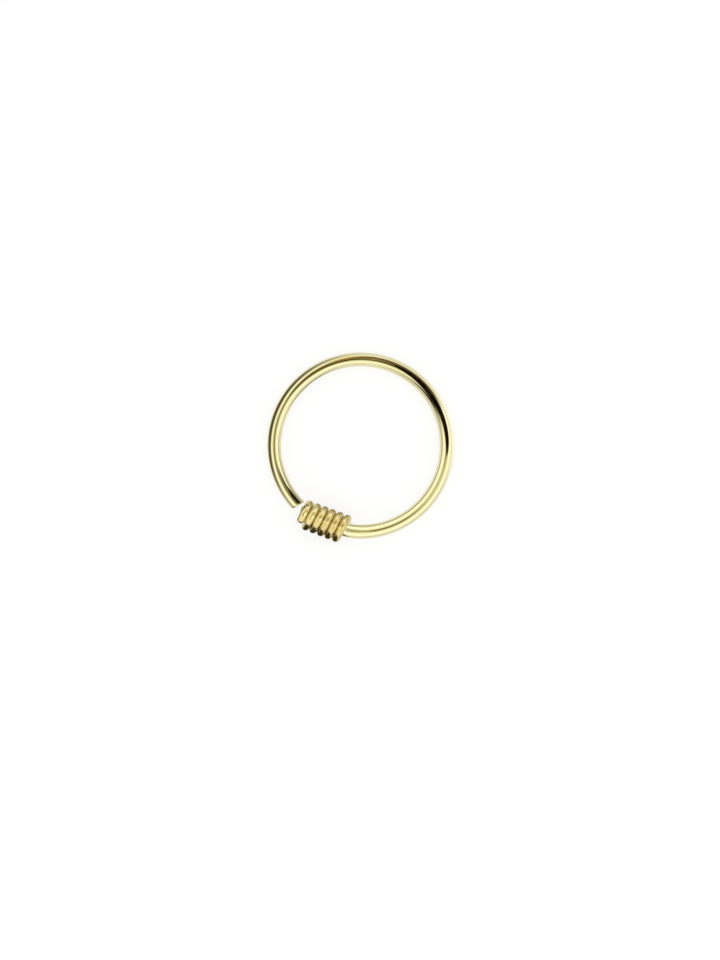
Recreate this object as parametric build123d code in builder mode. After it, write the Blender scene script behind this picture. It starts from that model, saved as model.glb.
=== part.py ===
from build123d import *
from math import asin, atan, degrees, radians, sin
import os

# Nose ring: a sprung hoop of fine gold wire with a wound coil over one end.
#
# Two pieces, each written to its own file:
#
# hoop        one length of round wire. Most of it is a circle. Its plain end is free and
#             stops just short of the coil. Its other end bends once, then runs straight
#             through the coil as the coil's core.
# coil_wrap   a thinner round wire wound close round that straight core.
#
# The ring lies on its side, as it does by itself. The coil is thicker than the hoop's
# wire, so the ring stands on the coil's turns and on the hoop's far side, tipped a little.
# Up is +Z, and the origin is the middle of the footprint, on the surface below the ring.
# Lengths are in millimetres and angles in degrees.

# The hoop
inner_diameter = 9.0  # the size that nose hoops are sold by
wire_diameter = 0.8  # 20 gauge
core_inset = 0.118  # how far the straight core lies inside the hoop's circle
bend_reach = 0.75  # the core begins this far past its nearest point to the centre
core_reach = 1.86  # and ends this far before it
free_end_angle = 244.8  # where the plain end stops, round the centre from the core's line
free_end_slant = 14.0  # its cut leaves the inner side longer
spare_angle = 4.0  # wire beyond that end, for the slanted cut to take off
end_rounding = 0.05

# The coil, wound left-handed
strand_diameter = 0.44
strand_clearance = 0.02  # between the core and the turns round it
turn_pitch = 0.459
first_crest = -1.5025  # the first crest on the hoop's inner side, along the core
lead_in_angle = 133.0  # the strand starts this far before that crest
strand_turns = 5 + 75 / 360  # and ends this many turns after it
strand_end_rounding = 0.03

# How the ring lies
core_heading = -20.9  # the core's direction, round +Z from +X

# What follows from them
hoop_radius = (inner_diameter + wire_diameter) / 2
core_distance = hoop_radius - core_inset
bend_angle = 2 * degrees(atan(core_inset / bend_reach))
bend_radius = hoop_radius - bend_reach / sin(radians(bend_angle))
circle_angle = free_end_angle + 90 - bend_angle
coil_radius = (wire_diameter + strand_diameter) / 2 + strand_clearance
coil_rise = coil_radius + strand_diameter / 2 - wire_diameter / 2
rest_tilt = degrees(asin(coil_rise / (core_distance + hoop_radius)))

# In the hoop's plane the core runs along X, and the hoop's centre is the origin.
core_direction = Vector(1, 0, 0).rotate(Axis.Z, core_heading)
hoop_normal = Vector(0, 0, 1).rotate(Axis((0, 0, 0), core_direction), -rest_tilt)
hoop_plane = Plane(origin=(0, 0, 0), x_dir=core_direction, z_dir=hoop_normal)

with BuildPart() as hoop:
    with BuildLine(hoop_plane):
        swept_angle = circle_angle + spare_angle
        circle = CenterArc((0, 0), hoop_radius, free_end_angle + spare_angle, -swept_angle)
    with BuildSketch(Plane(origin=circle @ 0, z_dir=circle % 0)):
        Circle(wire_diameter / 2)
    sweep()

    # The slanted cut across the free end
    free_end = spare_angle / swept_angle
    cut_normal = (circle % free_end).rotate(Axis((0, 0, 0), hoop_normal), 180 - free_end_slant)
    with BuildSketch(Plane(origin=circle @ free_end, z_dir=cut_normal)):
        Circle(wire_diameter)
    extrude(amount=wire_diameter, mode=Mode.SUBTRACT)

    # The same wire goes on through the bend and the coil.
    with BuildLine(hoop_plane):
        bend = JernArc(circle @ 1, circle % 1, bend_radius, -bend_angle)
        Line(bend @ 1, bend @ 1 + bend % 1 * (bend_reach + core_reach))
    with BuildSketch(Plane(origin=bend @ 0, z_dir=bend % 0)):
        Circle(wire_diameter / 2)
    sweep()

    fillet(hoop.faces().filter_by(GeomType.PLANE).edges(), end_rounding)

with BuildPart() as coil_wrap:
    with BuildLine(hoop_plane):
        # A helix starts at a crest, so this one has a turn too many, cut back to the lead-in.
        helix_turns = 1 + strand_turns
        helix = Helix(
            turn_pitch,
            turn_pitch * helix_turns,
            coil_radius,
            center=(first_crest - turn_pitch, -core_distance),
            direction=core_direction,
            lefthand=True,
            mode=Mode.PRIVATE,
        )
        strand = helix.trim((1 - lead_in_angle / 360) / helix_turns, 1)
        add(strand)
    with BuildSketch(Plane(origin=strand @ 0, z_dir=strand % 0)):
        Circle(strand_diameter / 2)
    sweep(is_frenet=True)

    fillet(coil_wrap.faces().filter_by(GeomType.PLANE).edges(), strand_end_rounding)

# Both pieces move together, until the origin is the middle of the footprint.
ring_box = Compound([hoop.part, coil_wrap.part]).bounding_box()
to_footprint = Location((-ring_box.center().X, -ring_box.center().Y, -ring_box.min.Z))
hoop.part.move(to_footprint)
coil_wrap.part.move(to_footprint)

hoop.part.label = "hoop"
coil_wrap.part.label = "coil_wrap"

os.makedirs("parts", exist_ok=True)
export_step(hoop.part, "parts/hoop.step")
export_step(coil_wrap.part, "parts/coil_wrap.step")

print(f"hoop radius {hoop_radius:.3f}, bend radius {bend_radius:.3f} over {bend_angle:.1f} degrees")
print(f"ring {ring_box.size.X:.2f} x {ring_box.size.Y:.2f} x {ring_box.size.Z:.2f}, tilt {rest_tilt:.2f}")
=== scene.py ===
# %% [markdown]
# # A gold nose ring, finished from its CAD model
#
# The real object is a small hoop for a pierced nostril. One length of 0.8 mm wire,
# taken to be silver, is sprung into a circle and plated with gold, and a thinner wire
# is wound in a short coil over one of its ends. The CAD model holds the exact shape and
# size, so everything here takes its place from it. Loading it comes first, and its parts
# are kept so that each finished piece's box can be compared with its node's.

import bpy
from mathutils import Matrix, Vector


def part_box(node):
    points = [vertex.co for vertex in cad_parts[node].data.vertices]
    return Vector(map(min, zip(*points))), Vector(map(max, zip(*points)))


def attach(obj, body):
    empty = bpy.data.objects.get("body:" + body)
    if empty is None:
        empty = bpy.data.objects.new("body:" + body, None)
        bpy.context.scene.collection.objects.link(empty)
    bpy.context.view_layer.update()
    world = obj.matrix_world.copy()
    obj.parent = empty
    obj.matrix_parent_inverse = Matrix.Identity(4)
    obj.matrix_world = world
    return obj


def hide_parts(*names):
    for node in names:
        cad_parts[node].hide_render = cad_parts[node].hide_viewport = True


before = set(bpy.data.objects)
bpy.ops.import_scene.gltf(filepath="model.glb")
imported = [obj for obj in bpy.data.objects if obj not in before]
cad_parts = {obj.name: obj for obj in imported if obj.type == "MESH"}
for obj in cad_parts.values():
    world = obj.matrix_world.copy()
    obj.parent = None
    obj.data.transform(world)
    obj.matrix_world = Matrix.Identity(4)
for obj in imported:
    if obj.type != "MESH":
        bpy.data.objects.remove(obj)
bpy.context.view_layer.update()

print("nodes:", sorted(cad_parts))

# %% Blender's modules and the unit
from math import asin, atan, cos, degrees, pi, radians, sin, tan

import bmesh
import bpy
from mathutils import Matrix, Vector

mm = 0.001  # everything is in metres, and the ring is best described in millimetres

# %% [markdown]
# ## The ring's dimensions
#
# A mirror finish shows every facet, and the CAD model's mesh is made of flat triangles
# for a physics engine. Both pieces are therefore made again, as finer meshes of the
# same wires. The numbers are those of the CAD drawing. The hoop lies in one plane, so
# it is drawn flat first, with its centre at the origin and its straight core along X,
# and turned into its resting place at the end.

# %% Dimensions of the hoop
wire_radius = 0.4 * mm
hoop_radius = 4.9 * mm  # from the ring's centre to the middle of the wire
core_distance = hoop_radius - 0.118 * mm  # the core lies a little inside the circle
bend_reach = 0.75 * mm  # the core begins this far past its nearest point to the centre
core_reach = 1.86 * mm  # and ends this far before it
free_end_angle = radians(244.8)  # where the plain end stops, round the ring's centre
free_end_slant = radians(14)  # its cut leaves the inner side longer
hoop_rounding = 0.05 * mm  # of the filed edges at both ends

bend_angle = 2 * atan((hoop_radius - core_distance) / bend_reach)
bend_radius = hoop_radius - bend_reach / sin(bend_angle)
circle_angle = free_end_angle + pi / 2 - bend_angle

print(f"circle {degrees(circle_angle):.1f} degrees, bend {degrees(bend_angle):.1f} degrees")

# %% Dimensions of the coil
strand_radius = 0.22 * mm
coil_radius = wire_radius + strand_radius + 0.02 * mm  # it clears the core by 0.02 mm
turn_pitch = 0.459 * mm
first_crest = -1.5025 * mm  # the first crest on the hoop's inner side, along the core
lead_in_angle = radians(133)  # the strand starts this far before that crest
strand_angle = lead_in_angle + radians(5 * 360 + 75)  # 5 turns and a bit past that crest
strand_rounding = 0.03 * mm

turn_length = ((2 * pi * coil_radius) ** 2 + turn_pitch**2) ** 0.5
helix_slope = atan(turn_pitch / (2 * pi * coil_radius))

print(f"{strand_angle / (2 * pi):.2f} turns, each {turn_length / mm:.2f} mm of wire")

# %% [markdown]
# ## How the ring lies
#
# The coil is thicker than the hoop's wire, so the ring can't lie flat. It stands on the
# coil's turns on one side and on the hoop's wire on the other, tipped by under three
# degrees. One matrix holds that: it tips the flat drawing about the core, turns it to
# the core's heading, and lifts it to where the CAD hoop's centre is.

# %% The resting place
coil_rise = coil_radius + strand_radius - wire_radius
rest_tilt = asin(coil_rise / (core_distance + hoop_radius))
core_heading = radians(-20.9)

hoop_low, hoop_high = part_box("hoop")
ring_centre = (hoop_low + hoop_high) / 2
ring_centre.z = hoop_low.z + wire_radius + hoop_radius * sin(rest_tilt)

to_rest = (
    Matrix.Translation(ring_centre)
    @ Matrix.Rotation(core_heading, 4, "Z")
    @ Matrix.Rotation(-rest_tilt, 4, "X")
)

print(f"tilt {degrees(rest_tilt):.2f} degrees, centre {ring_centre.z / mm:.2f} mm up")

# %% [markdown]
# ## Pulling a wire
#
# A wire is a round section pulled along a path. A curve object with a bevel could draw
# it, but Blender's spin operator follows a circle, a straight run or a helix exactly,
# and it can be made to do something a curve can't: remember the straight wire. The
# plating shows faint lines from the die that the wire was drawn through, and they run
# along the wire wherever it bends. So each point keeps an attribute with its place in
# the section and how far along the wire it is, and the material reads that later.
#
# Spin copies each new rim's points from the rim before it, attribute and all, and adds
# them in order. So the count of points tells which rim a new point belongs to, and only
# its length along the wire has to be added.

# %% Start and pull a wire
def start_wire(radius, segments, place):
    """A new mesh with one open rim, which knows where each of its points is on the wire."""
    bm = bmesh.new()
    straight = bm.verts.layers.float_vector.new("straight_wire")
    bmesh.ops.create_circle(bm, cap_ends=False, radius=radius, segments=segments)
    for vert in bm.verts:
        vert[straight] = vert.co
    bmesh.ops.transform(bm, matrix=place, verts=bm.verts)
    return bm


def pull_wire(bm, rim, length, steps, **turn):
    """Sweeps a rim of edges on with one spin, and returns the last rim."""
    made_before = len(bm.verts)
    swept = bmesh.ops.spin(bm, geom=rim, steps=steps, **turn)["geom_last"]
    straight = bm.verts.layers.float_vector["straight_wire"]
    bm.verts.index_update()
    for vert in bm.verts:
        if vert.index >= made_before:
            rims_on = (vert.index - made_before) // len(rim) + 1
            vert[straight] += Vector((0, 0, length * rims_on / steps))
    return [part for part in swept if isinstance(part, bmesh.types.BMEdge)]


# %% [markdown]
# ## The ends of a wire
#
# Each end is cut square, or nearly, and its rim is broken with a file so that it is
# kind to skin. The open rim is filled with one flat face, which gets the second
# material slot, and a small bevel with four segments rounds the edge. The flat face
# isn't shaded smooth, or the rounding would bleed across it.

# %% Close an end
def close_end(bm, rim, rounding):
    """Fills an open rim with a flat face and rounds its edge."""
    for face in bmesh.ops.contextual_create(bm, geom=rim)["faces"]:
        face.material_index = 1
    bmesh.ops.bevel(
        bm,
        geom=rim,
        offset=rounding,
        offset_type="OFFSET",
        segments=4,
        profile=0.5,
        affect="EDGES",
        material=-1,
    )


# %% [markdown]
# ## From mesh to piece
#
# Normals are made to point outwards while the mesh is still flat on its plane, and the
# resting matrix goes into the points themselves, so the object stays at the origin,
# unturned. The piece then rides on the ring's one body, takes its finish from a
# material slot, and stands for its CAD node. Its box is printed against that node's,
# because a finer mesh of the same wire must have the same box.

# %% Make a piece
def make_piece(bm, name, node):
    """Turns a closed wire mesh into a finished piece that replaces a CAD node."""
    bmesh.ops.recalc_face_normals(bm, faces=bm.faces)
    for face in bm.faces:
        face.smooth = face.material_index == 0
    bmesh.ops.transform(bm, matrix=to_rest, verts=bm.verts)
    print(f"{name}: {len(bm.faces)} faces, {bm.calc_volume() / mm**3:.3f} cubic mm")

    mesh = bpy.data.meshes.new(name)
    bm.to_mesh(mesh)
    bm.free()
    piece = bpy.data.objects.new(name, mesh)
    bpy.context.scene.collection.objects.link(piece)
    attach(piece, "root")
    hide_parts(node)

    corners = piece.bound_box  # the lowest corner is the first, and the highest is [6]
    low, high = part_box(node)
    off = [abs(a - b) for a, b in zip((*corners[0], *corners[6]), (*low, *high))]
    print(f"{name}: its box is within {max(off) / mm:.3f} mm of the CAD node's")
    return piece


# %% [markdown]
# ## The hoop
#
# The real hoop is bent on a former from one length of wire, in three parts: nearly
# nine tenths of a circle, a short tighter bend, and a straight core that the coil is
# wound on. The rim starts at the plain free end, square to the wire, and is pulled the
# same way: one spin round the ring's centre, one round the bend's centre, and one with
# no turn at all, which is a straight pull.

# %% Pull the hoop
circle_steps = 160
bend_steps = 12
core_steps = 15
at_free_end = (
    Matrix.Rotation(free_end_angle, 4, "Z")
    @ Matrix.Translation((hoop_radius, 0, 0))
    @ Matrix.Rotation(pi / 2, 4, "X")
)
hoop = start_wire(wire_radius, segments=48, place=at_free_end)
free_rim = hoop.edges[:]
rim = pull_wire(
    hoop,
    free_rim,
    length=hoop_radius * circle_angle,
    steps=circle_steps,
    cent=(0, 0, 0),
    axis=(0, 0, 1),
    angle=-circle_angle,
)
rim = pull_wire(
    hoop,
    rim,
    length=bend_radius * bend_angle,
    steps=bend_steps,
    cent=(bend_reach, bend_radius - core_distance, 0),
    axis=(0, 0, 1),
    angle=-bend_angle,
)
core_length = bend_reach + core_reach
core_rim = pull_wire(
    hoop,
    rim,
    length=core_length,
    steps=core_steps,
    axis=(0, 0, 1),
    angle=0,
    dvec=(-core_length / core_steps, 0, 0),
)

print(f"the hoop so far: {len(hoop.verts)} points")

# %% [markdown]
# The plain end wasn't cut quite square: its inner side is a little longer. Cutting the
# mesh with a slanted plane would leave slivers that spoil the bevel, so the last few
# rims lean instead. Each point turns about the ring's own axis, which keeps it on the
# wire's surface, by an amount that fades away from the end.

# %% Lean the free end and close both ends
lean_fades_over = radians(8)
straight = hoop.verts.layers.float_vector["straight_wire"]

for vert in hoop.verts:
    radial = vert[straight].x
    share = max(0, 1 - vert[straight].z / (hoop_radius * lean_fades_over))
    lean = atan(tan(free_end_slant) * -radial / (hoop_radius + radial))
    vert.co.rotate(Matrix.Rotation(share * lean, 3, "Z"))

close_end(hoop, free_rim, hoop_rounding)
close_end(hoop, core_rim, hoop_rounding)
hoop_piece = make_piece(hoop, "hoop_wire", "hoop")

# %% [markdown]
# ## The coil
#
# The strand is wound close round the core by turning the core in a lathe while the
# strand is fed along it, and it grips by itself. Spin makes exactly that: each step
# turns the rim about the core and moves it along by the same share of a turn's pitch.
# The section has to be square to the strand, so the first rim is turned by the helix's
# slope. The winding is left-handed.

# %% Wind the coil
wind_steps = 268  # about 48 to a turn
strand_start = Vector((first_crest - turn_pitch * lead_in_angle / (2 * pi), -core_distance, 0))
at_strand_start = (
    Matrix.Translation(strand_start)
    @ Matrix.Rotation(lead_in_angle, 4, "X")
    @ Matrix.Translation((0, coil_radius, 0))
    @ Matrix.Rotation(-helix_slope, 4, "Y")
    @ Matrix.Rotation(pi / 2, 4, "Z")
)
coil = start_wire(strand_radius, segments=40, place=at_strand_start)
start_rim = coil.edges[:]
end_rim = pull_wire(
    coil,
    start_rim,
    length=turn_length * strand_angle / (2 * pi),
    steps=wind_steps,
    cent=strand_start,
    axis=(1, 0, 0),
    angle=-strand_angle,
    dvec=(turn_pitch * strand_angle / (2 * pi) / wind_steps, 0, 0),
)
close_end(coil, start_rim, strand_rounding)
close_end(coil, end_rim, strand_rounding)
coil_piece = make_piece(coil, "coil_strand", "coil_wrap")

# %% [markdown]
# ## Colours and nodes
#
# Colours are written as they look on a screen, as sRGB hex, and Blender's shaders work
# in linear light, so one function translates. Another adds a shader node: its settings
# by name, and its sockets as values or as another node's output to link.

# %% Helpers for materials
def linear(hex_colour):
    """An sRGB hex colour as a linear RGBA tuple."""
    parts = [int(hex_colour[i : i + 2], 16) / 255 for i in (1, 3, 5)]
    return (*[c / 12.92 if c <= 0.04045 else ((c + 0.055) / 1.055) ** 2.4 for c in parts], 1)


def add_node(tree, kind, sockets=None, **settings):
    """Adds a node with its settings, and fills or links its sockets."""
    node = tree.nodes.new(kind)
    for name, value in settings.items():
        setattr(node, name, value)
    for name, value in (sockets or {}).items():
        if isinstance(value, bpy.types.NodeSocket):
            tree.links.new(value, node.inputs[name])
        else:
            node.inputs[name].default_value = value
    return node


def new_material(name):
    """An empty node material."""
    material = bpy.data.materials.new(name)
    material.use_nodes = True
    material.node_tree.nodes.clear()
    return material


print("white is", linear("#FFFFFF"))

# %% [markdown]
# ## Polished gold plate
#
# Gold plate over silver is a metal, so its colour is all in its reflection, and that
# reflection is nearly a mirror's. What keeps it from looking like a computer's chrome:
#
# - the plate's tone drifts a little along the wire, where it is thinner or thicker;
# - drawing through a die leaves faint lines along the wire. Real ones are too fine to
#   show, so these are coarser;
# - handling leaves short hairlines that soften the mirror in patches;
# - polishing never reaches between the turns of a tight coil, so the gold there stays
#   slightly softer, as fresh plating is. It is also paler there, which is painted light
#   that lifts the shade between the turns. A point's place in the wire's section says how
#   far inside it is.
#
# The same function makes the hoop's gold and the coil's. The coil's tone is darker and
# warmer, which is painted shade for the dimmer reflections between its close turns, and it
# isn't polished as brightly as the hoop.

# %% The gold
die_lines_apart = 0.07 * mm
die_line_length = 4 * mm
die_line_height = 0.0008 * mm
hairline_patch = 0.5 * mm
tone_patch = 2.5 * mm
drift_noise = (0.35, 0.65)  # the noise values that the drift is spread over
hairline_noise = (0.45, 0.7)  # and those that the hairlines are
most_drift = 0.35  # how far the tone drifts towards the second one by itself
hairline_roughness = 0.08  # what the worst hairlines add
missed_roughness = 0.05  # what is added where polishing failed


def gold_plate(name, tone, second_tone, polish, unpolished_and_painted_light_span):
    """Polished gold plate on drawn wire.

    The tone drifts towards the second one, and reaches it where polishing failed, which on
    the coil is also painted light between the turns: fully at the first of the last
    argument's two distances across the section, measured outwards, and not at all at the
    second.
    """
    material = new_material(name)
    tree = material.node_tree
    wire = add_node(tree, "ShaderNodeAttribute", attribute_name="straight_wire")
    place = add_node(tree, "ShaderNodeTexCoord")

    stretched = add_node(
        tree,
        "ShaderNodeVectorMath",
        {
            0: wire.outputs["Vector"],
            1: (1 / die_lines_apart, 1 / die_lines_apart, 1 / die_line_length),
        },
        operation="MULTIPLY",
    )
    die_lines = add_node(
        tree,
        "ShaderNodeTexNoise",
        {"Vector": stretched.outputs[0], "Scale": 1.0, "Detail": 2.0, "Roughness": 0.6},
    )
    handling = add_node(
        tree,
        "ShaderNodeTexNoise",
        {"Vector": place.outputs["Object"], "Scale": 1 / hairline_patch, "Detail": 3.0},
    )
    drift = add_node(
        tree,
        "ShaderNodeTexNoise",
        {"Vector": place.outputs["Object"], "Scale": 1 / tone_patch, "Detail": 1.0},
    )

    section = add_node(tree, "ShaderNodeSeparateXYZ", {"Vector": wire.outputs["Vector"]})
    # where polishing failed; on the coil this also places the painted light between the turns
    unpolished_and_painted_light = add_node(
        tree,
        "ShaderNodeMapRange",
        {"Value": section.outputs["X"], "From Min": unpolished_and_painted_light_span[1], "From Max": unpolished_and_painted_light_span[0]},
        interpolation_type="SMOOTHSTEP",
    )
    drifted = add_node(
        tree,
        "ShaderNodeMapRange",
        {
            "Value": drift.outputs["Fac"],
            "From Min": drift_noise[0],
            "From Max": drift_noise[1],
            "To Max": most_drift,
        },
    )
    second_share = add_node(
        tree,
        "ShaderNodeMath",
        {0: unpolished_and_painted_light.outputs["Result"], 1: drifted.outputs["Result"]},
        operation="MAXIMUM",
    )
    colour = add_node(
        tree,
        "ShaderNodeMix",
        {"Factor": second_share.outputs[0], "A": linear(tone), "B": linear(second_tone)},
        data_type="RGBA",
    )
    hairlines = add_node(
        tree,
        "ShaderNodeMapRange",
        {
            "Value": handling.outputs["Fac"],
            "From Min": hairline_noise[0],
            "From Max": hairline_noise[1],
            "To Min": polish,
            "To Max": polish + hairline_roughness,
        },
    )
    roughness = add_node(
        tree,
        "ShaderNodeMath",
        {0: unpolished_and_painted_light.outputs["Result"], 1: missed_roughness, 2: hairlines.outputs["Result"]},
        operation="MULTIPLY_ADD",
    )
    relief = add_node(
        tree,
        "ShaderNodeBump",
        {"Height": die_lines.outputs["Fac"], "Strength": 1.0, "Distance": die_line_height},
    )
    shader = add_node(
        tree,
        "ShaderNodeBsdfPrincipled",
        {
            "Metallic": 1.0,
            "Base Color": colour.outputs["Result"],
            "Roughness": roughness.outputs[0],
            "Normal": relief.outputs["Normal"],
        },
    )
    add_node(tree, "ShaderNodeOutputMaterial", {"Surface": shader.outputs["BSDF"]})
    return material


bright_gold = gold_plate(
    "bright_gold_plate",
    tone="#F9F3C6",
    second_tone="#F5EBB2",
    polish=0.06,
    unpolished_and_painted_light_span=(-1.5 * wire_radius, -1.2 * wire_radius),  # outside the wire, so nowhere
)
coil_gold_painted_shading = gold_plate(
    "wound_gold_plate_painted_shading",
    # darker and warmer than the hoop's gold: painted shade for the close turns' dimmer
    # reflections
    tone="#E0CE90",
    # paler, between the turns: painted light that lifts the shade there
    second_tone="#F8F0BC",
    polish=0.12,
    unpolished_and_painted_light_span=(0.0, 0.7 * strand_radius),
)

print("made", bright_gold.name, "and", coil_gold_painted_shading.name)

# %% [markdown]
# ## The cut ends
#
# The ends are taken to be nipped and filed before plating, so their faces are gold too,
# but matt, with file strokes all one way, which a close view can show. They come from
# Blender's wave texture, whose diagonal bands repeat every 2 pi / (10 * sqrt(3)) when
# its scale is 1, so the scale is that over the distance wanted.

# %% The filed ends
strokes_apart = 0.13676 * mm
stroke_depth = 0.004 * mm
stroke_scale = 2 * pi / (10 * 3**0.5) / strokes_apart

filed_gold = new_material("filed_gold_plate")
tree = filed_gold.node_tree
place = add_node(tree, "ShaderNodeTexCoord")
strokes = add_node(
    tree,
    "ShaderNodeTexWave",
    {"Vector": place.outputs["Object"], "Scale": stroke_scale, "Distortion": 2.0},
    bands_direction="DIAGONAL",
)
relief = add_node(
    tree,
    "ShaderNodeBump",
    {"Height": strokes.outputs["Fac"], "Strength": 1.0, "Distance": stroke_depth},
)
shader = add_node(
    tree,
    "ShaderNodeBsdfPrincipled",
    {
        "Metallic": 1.0,
        "Base Color": linear("#EFDD8C"),
        "Roughness": 0.35,
        "Normal": relief.outputs["Normal"],
    },
)
add_node(tree, "ShaderNodeOutputMaterial", {"Surface": shader.outputs["BSDF"]})

for piece, gold in ((hoop_piece, bright_gold), (coil_piece, coil_gold_painted_shading)):
    piece.data.materials.append(gold)
    piece.data.materials.append(filed_gold)
    print(piece.name, "has", [material.name for material in piece.data.materials])

# %% [markdown]
# ## The floor
#
# The ring lies on white board. A board that is only lit comes out grey when its light
# is right for gold, so most of this one's white is its own glow, and the rest is lit
# and takes the ring's soft shadow. The camera sees it white. Metal sees it a little
# greyer near the ring, and greyer still further out, as board at the rim of a lit patch
# is. That outer board is the thin grey line just inside the wire's edges.

# %% The floor
near_ring = 5 * mm  # metal sees the board at its brightest up to here
far_out = 16 * mm  # and at its greyest from here
glow_near, glow_far = 0.58, 0.3  # the board's own glow, as metal sees it
glow_to_camera = 0.73  # with the light that falls on it, this comes out white
board_grey = (0.3, 0.3, 0.3, 1)
floor_side = 2.0  # metres

bpy.ops.mesh.primitive_plane_add(size=floor_side, location=(0, 0, 0))
floor = bpy.context.object
floor.name = "floor"

white_board = new_material("white_board")
tree = white_board.node_tree
ray = add_node(tree, "ShaderNodeLightPath")
place = add_node(tree, "ShaderNodeTexCoord")
away = add_node(tree, "ShaderNodeVectorMath", {0: place.outputs["Object"]}, operation="LENGTH")
seen_in_metal = add_node(
    tree,
    "ShaderNodeMapRange",
    {
        "Value": away.outputs["Value"],
        "From Min": near_ring,
        "From Max": far_out,
        "To Min": glow_near,
        "To Max": glow_far,
    },
)
level = add_node(
    tree,
    "ShaderNodeMapRange",
    {
        "Value": ray.outputs["Is Camera Ray"],
        "To Min": seen_in_metal.outputs["Result"],
        "To Max": glow_to_camera,
    },
)
glow = add_node(tree, "ShaderNodeEmission", {"Strength": level.outputs["Result"]})
board = add_node(tree, "ShaderNodeBsdfDiffuse", {"Color": board_grey})
both = add_node(tree, "ShaderNodeAddShader", {0: board.outputs[0], 1: glow.outputs[0]})
add_node(tree, "ShaderNodeOutputMaterial", {"Surface": both.outputs[0]})
floor.data.materials.append(white_board)

print("the floor is", floor.dimensions.x, "m wide")

# %% [markdown]
# ## The light
#
# Jewellery is lit inside a white tent, so that polished metal has something white to
# reflect. The world is that tent: plain white, strength 1. Metal sees it brightest
# halfway up, dimmer low down, and dark overhead, round the hole the camera looks
# through. That hole is the thin olive line along the middle of the wire. The colour
# ramp runs from the horizon to the zenith by the upward part of the direction, which is
# the cosine of the angle from the zenith.

# %% The tent
horizon = (0.55, 0.55, 0.55, 1)
zenith = (0.1, 0.09, 0.045, 1)
strength_in_metal = 1.12

world = bpy.data.worlds.new("white_tent")
bpy.context.scene.world = world
world.use_nodes = True
tree = world.node_tree
tree.nodes.clear()
ray = add_node(tree, "ShaderNodeLightPath")
direction = add_node(tree, "ShaderNodeTexCoord")
up = add_node(tree, "ShaderNodeSeparateXYZ", {"Vector": direction.outputs["Generated"]})
tent = add_node(tree, "ShaderNodeValToRGB", {"Fac": up.outputs["Z"]})
ramp = tent.color_ramp
ramp.elements[0].color = horizon
ramp.elements[1].color = zenith
for from_zenith, grey in ((80, 0.82), (70, 0.93), (60, 0.98), (50, 1), (40, 0.99)):
    stop = ramp.elements.new(cos(radians(from_zenith)))
    stop.color = (grey, grey, grey, 1)
for from_zenith, grey in ((32, 0.94), (24, 0.81), (16, 0.55), (8, 0.24)):
    stop = ramp.elements.new(cos(radians(from_zenith)))
    stop.color = (grey, 0.96 * grey, 0.7 * grey, 1)  # olive towards the hole
seen = add_node(
    tree,
    "ShaderNodeMix",
    {"Factor": ray.outputs["Is Glossy Ray"], "A": (1, 1, 1, 1), "B": tent.outputs["Color"]},
    data_type="RGBA",
)
strength = add_node(
    tree,
    "ShaderNodeMapRange",
    {"Value": ray.outputs["Is Glossy Ray"], "To Min": 1.0, "To Max": strength_in_metal},
)
light = add_node(
    tree,
    "ShaderNodeBackground",
    {"Color": seen.outputs["Result"], "Strength": strength.outputs["Result"]},
)
add_node(tree, "ShaderNodeOutputWorld", {"Surface": light.outputs[0]})

print("the tent has", len(ramp.elements), "steps from horizon to zenith")

# %% [markdown]
# ## Cards and tissues
#
# In an all-white tent, polished wire looks flat. So a jeweller sets dark cards close to
# the piece, and their reflections draw the streaks that make it read as round and
# bright. A scrap of white tissue does the opposite: it lights up a reflection that is
# too dark.
#
# A card's material lets light through outside its fade, and turns it to the card's
# shade inside. A tissue adds a glow of its own. The edges fade out, so the streaks do
# too. Only reflections see a card: it is hidden from the camera and blocks no light.

# %% What a card is made of
def card_material(name, make_fade, shade, glow):
    """make_fade adds nodes to a tree and returns a socket that is 1 on the card."""
    material = new_material(name)
    tree = material.node_tree
    fade = make_fade(tree)
    tint = add_node(
        tree,
        "ShaderNodeMix",
        {"Factor": fade, "A": (1, 1, 1, 1), "B": (*shade, 1)},
        data_type="RGBA",
    )
    veil = add_node(tree, "ShaderNodeBsdfTransparent", {"Color": tint.outputs["Result"]})
    shine = add_node(tree, "ShaderNodeMath", {0: fade, 1: glow}, operation="MULTIPLY")
    tissue = add_node(tree, "ShaderNodeEmission", {"Strength": shine.outputs[0]})
    both = add_node(tree, "ShaderNodeAddShader", {0: veil.outputs[0], 1: tissue.outputs[0]})
    add_node(tree, "ShaderNodeOutputMaterial", {"Surface": both.outputs[0]})
    return material


def oval_fade(tree, from_middle, full):
    """1 up to the share of the way out that full says, and smoothly down to 0 at the rim."""
    fade = add_node(
        tree,
        "ShaderNodeMapRange",
        {"Value": from_middle, "From Min": full, "From Max": 1.0, "To Min": 1.0, "To Max": 0.0},
        interpolation_type="SMOOTHSTEP",
    )
    return fade.outputs["Result"]


def place_card(bm, name, material):
    """Makes the card's object, over the ring's centre, and shows it only to reflections."""
    mesh = bpy.data.meshes.new(name)
    bm.to_mesh(mesh)
    bm.free()
    mesh.materials.append(material)
    card = bpy.data.objects.new(name, mesh)
    bpy.context.scene.collection.objects.link(card)
    card.location = (ring_centre.x, ring_centre.y, 0)
    card.visible_camera = False
    card.visible_diffuse = False
    card.visible_transmission = False
    card.visible_shadow = False
    return card


print("cards hang round", [round(side / mm, 2) for side in ring_centre.xy])

# %% [markdown]
# ## Flat cards
#
# Each is a round disc of radius 1 that its object stretches to an oval, so that a
# point's distance from the middle is its share of the way out. The sizes are in
# millimetres from the ring's centre, because that is how a jeweller would set them.
# They were found by following the reflections back from the wire.

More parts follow.
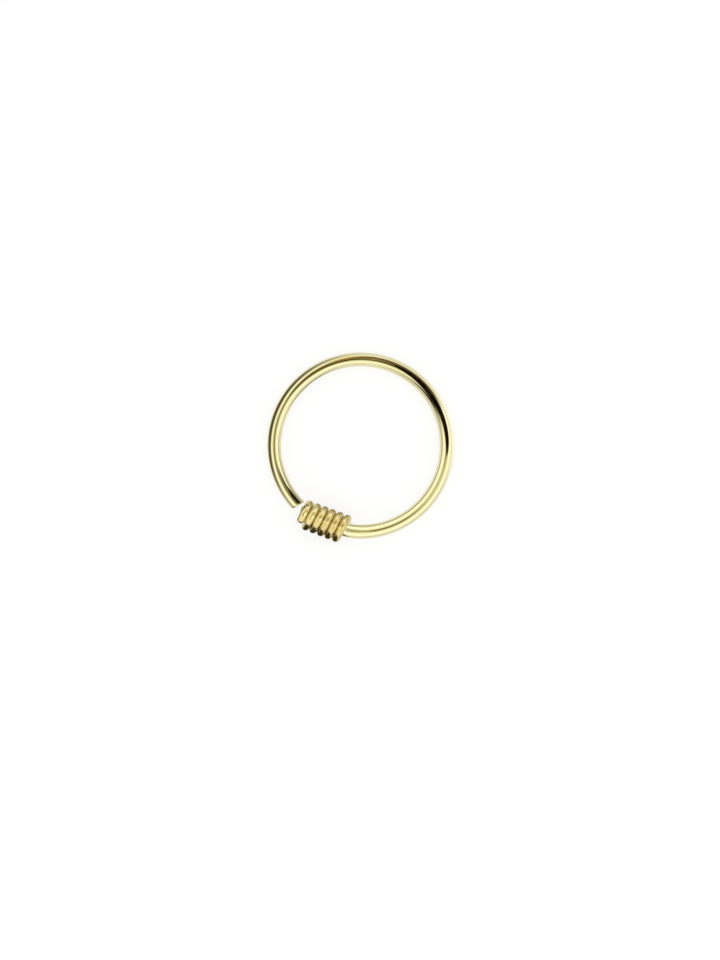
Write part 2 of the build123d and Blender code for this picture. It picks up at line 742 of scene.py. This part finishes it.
# %% One flat card
def hang_card(name, centre, halves, heading, height, full, shade, glow, upright=False):
    """An oval card: full is the share of it that isn't faded, and heading is in degrees."""

    def fade(tree):
        place = add_node(tree, "ShaderNodeTexCoord")
        vector = {0: place.outputs["Object"]}
        out = add_node(tree, "ShaderNodeVectorMath", vector, operation="LENGTH")
        return oval_fade(tree, out.outputs["Value"], full)

    bm = bmesh.new()
    bmesh.ops.create_circle(bm, cap_ends=True, radius=1.0, segments=64)
    card = place_card(bm, name, card_material(name, fade, shade, glow))
    card.location += Vector((*centre, height)) * mm
    card.rotation_euler = (pi / 2 if upright else 0, 0, radians(heading))
    card.scale = (halves[0] * mm, halves[1] * mm, mm)
    print(f"{name}: {2 * halves[0]:.1f} by {2 * halves[1]:.1f} mm, {height:.2f} mm up")


# %% [markdown]
# ### Over the hoop
#
# The two big black cards make the black streak of the right side, and the warm-toned
# ones make the brown and golden band at the far side. The smaller ones darken the plain
# free end, and a grey one on the board, a painted shadow that only the metal sees, draws a
# faint line along the far left's inner edge.
# One tissue thins the olive line at the near right, and another, on the board, brightens
# the right side's outer edge. Cards that overlap hang at slightly different heights,
# because two surfaces in one place would come out speckled.

# %% The cards over the hoop
black = (0.025, 0.011, 0.002)
# umber is also the painted shadow of the coil on the board outside it
umber = (0.07, 0.05, 0.01)
brown = (0.15, 0.1, 0.04)
sand = (0.4, 0.34, 0.2)
golden = (1.0, 0.84, 0.44)
olive = (0.07, 0.055, 0.01)
# grey is also the painted shadow on the board at the far left
grey = (0.32, 0.3, 0.28)
white = (1.0, 1.0, 1.0)

for name, centre, halves, heading, height, full, shade, glow in (
    ("card_over_far_right", (4.75, 3.09), (3.92, 2.64), -62.5, 4.0, 0.88, black, 0.0),
    ("card_over_inside", (2.44, 1.75), (5.47, 1.55), 24.5, 2.44, 0.05, black, 0.0),
    ("card_over_far_side", (4.29, 5.98), (5.87, 3.11), -9.7, 2.5, 0.43, brown, 0.0),
    ("card_over_far_left", (-1.3, 5.25), (4.38, 1.24), 37.9, 2.56, 0.65, sand, 0.0),
    ("card_beyond_far_side", (-0.1, 6.5), (2.7, 1.55), 0, 2.62, 0.5, golden, 0.0),
    ("card_over_free_end", (-3.31, -2.69), (0.92, 0.66), 133, 1.6, 0.55, black, 0.0),
    ("card_along_free_end", (-3.87, -2.3), (1.9, 0.36), 120, 1.66, 0.3, olive, 0.0),
    ("tissue_over_near_right", (4.5, -1.9), (3.0, 1.3), 60, 7.0, 0.3, white, 0.45),
    ("tissue_on_board_right", (9.3, 1.8), (5.0, 8.0), 12, 0.03, 0.4, white, 0.42),
    # a painted shadow on the board, which only the metal sees
    ("painted_shadow_on_board_left", (-1.76, 2.18), (1.75, 1.75), 129, 0.04, 0.3, grey, 0.0),
):
    hang_card(name, centre, halves, heading, height, full, shade, glow)

# %% [markdown]
# ### Round the coil
#
# Cards on the board paint the coil's shadow on it, which only the metal sees, and with one
# standing beyond them they make the coil's outer side dark, so that its turns look like a
# row of dark teeth. Inside the hoop a lighter painted shadow lies on the board.
# Right above the coil, a dim card draws a short mark on each turn, and two tissues keep
# the turns bright round it. A third thins the olive line on the hoop just beside them.

# %% The cards round the coil
dim = (0.6, 0.54, 0.4)
# the painted shadow on the board inside the hoop
board_shadow_tint = (0.52, 0.47, 0.36)
along_core = degrees(core_heading)

for name, centre, halves, heading, height, full, shade, glow, upright in (
    # a painted shadow of the coil on the board, which only the metal sees
    ("painted_shadow_outside_coil", (-3.4, -7.24), (2.9, 2.6), along_core, 0.03, 0.65, umber, 0.0, False),
    ("card_beyond_coil", (-4.54, -7.67), (3.4, 2.6), along_core, 0.9, 0.7, umber, 0.0, True),
    # a lighter painted shadow on the board inside the hoop
    ("painted_shadow_inside_coil", (-0.64, -1.66), (2.1, 2.9), along_core, 0.03, 0.5, board_shadow_tint, 0.0, False),
    ("card_over_coil", (-1.4, -3.67), (2.4, 0.8), along_core, 2.6, 0.3, dim, 0.0, False),
    ("tissue_over_coil", (-1.71, -4.47), (1.9, 0.6), along_core, 3.3, 0.5, white, 0.5, False),
    ("tissue_right_of_coil", (0.16, -5.15), (0.85, 0.75), 0, 3.36, 0.35, white, 0.3, False),
    ("tissue_inside_coil", (-1.14, -2.97), (1.7, 0.4), along_core, 1.75, 0.5, white, 0.6, True),
):
    hang_card(name, centre, halves, heading, height, full, shade, glow, upright)

# %% [markdown]
# ### A curved card at the side
#
# The last card stands on the board beyond the ring's left side, curved round it, and
# draws the dark line along the wire's outer edge there. It is an upright edge spun part
# of the way round the ring. Its fade is an oval too, measured by the angle round the
# ring and the height.

# %% The card at the side
wall_radius = 7.3 * mm
wall_foot = 0.02 * mm
wall_middle = 1.2 * mm
wall_half_height = 2.6 * mm
wall_half_angle = radians(88)
wall_heading = radians(162)
wall_full = 0.3  # the share of it that isn't faded
drab = (0.1, 0.09, 0.055)


def wall_fade(tree):
    """1 on the middle of the curved card, and smoothly down to 0 at its oval rim."""
    place = add_node(tree, "ShaderNodeTexCoord")
    part = add_node(tree, "ShaderNodeSeparateXYZ", {"Vector": place.outputs["Object"]})
    angle = add_node(
        tree,
        "ShaderNodeMath",
        {0: part.outputs["Y"], 1: part.outputs["X"]},
        operation="ARCTAN2",
    )
    share = {0: angle.outputs[0], 1: wall_half_angle}
    across = add_node(tree, "ShaderNodeMath", share, operation="DIVIDE")
    up = add_node(
        tree,
        "ShaderNodeMath",
        {0: part.outputs["Z"], 1: 1 / wall_half_height, 2: -wall_middle / wall_half_height},
        operation="MULTIPLY_ADD",
    )
    oval = add_node(tree, "ShaderNodeCombineXYZ", {"X": across.outputs[0], "Y": up.outputs[0]})
    out = add_node(tree, "ShaderNodeVectorMath", {0: oval.outputs[0]}, operation="LENGTH")
    return oval_fade(tree, out.outputs["Value"], wall_full)


bm = bmesh.new()
foot = bm.verts.new((wall_radius, 0, wall_foot))
head = bm.verts.new((wall_radius, 0, wall_middle + wall_half_height))
bmesh.ops.rotate(bm, verts=bm.verts, matrix=Matrix.Rotation(-wall_half_angle, 3, "Z"))
bmesh.ops.spin(
    bm,
    geom=[bm.edges.new((foot, head))],
    axis=(0, 0, 1),
    angle=2 * wall_half_angle,
    steps=72,
)
wall_material = card_material("card_beside", wall_fade, shade=drab, glow=0.0)
wall = place_card(bm, "card_beside", wall_material)
wall.rotation_euler.z = wall_heading

print(f"{wall.name}: {wall.dimensions.z / mm:.1f} mm high, {len(wall.data.polygons)} faces")

# %% [markdown]
# ## The camera
#
# It looks straight down from 400 mm with a long lens, far enough that the ring's height
# hardly changes its outline. The ring is small in the frame, and a little above its
# middle, so the camera stands a little to the near side of it.

# %% The camera
frame_height = 54.5 * mm
camera_height = 400 * mm
camera_left = 0.028 * mm
camera_back = 1.957 * mm
camera_data = bpy.data.cameras.new("camera")
camera = bpy.data.objects.new("camera", camera_data)
bpy.context.scene.collection.objects.link(camera)
camera_data.lens = camera_data.sensor_width * camera_height / frame_height
camera_data.clip_start = 10 * mm
camera_data.clip_end = 10
camera.location = ring_centre + Vector((-camera_left, -camera_back, camera_height))
bpy.context.scene.camera = camera

bpy.context.scene.view_settings.view_transform = "Standard"

print(f"a {camera_data.lens:.0f} mm lens shows {frame_height / mm:.1f} mm of the floor")
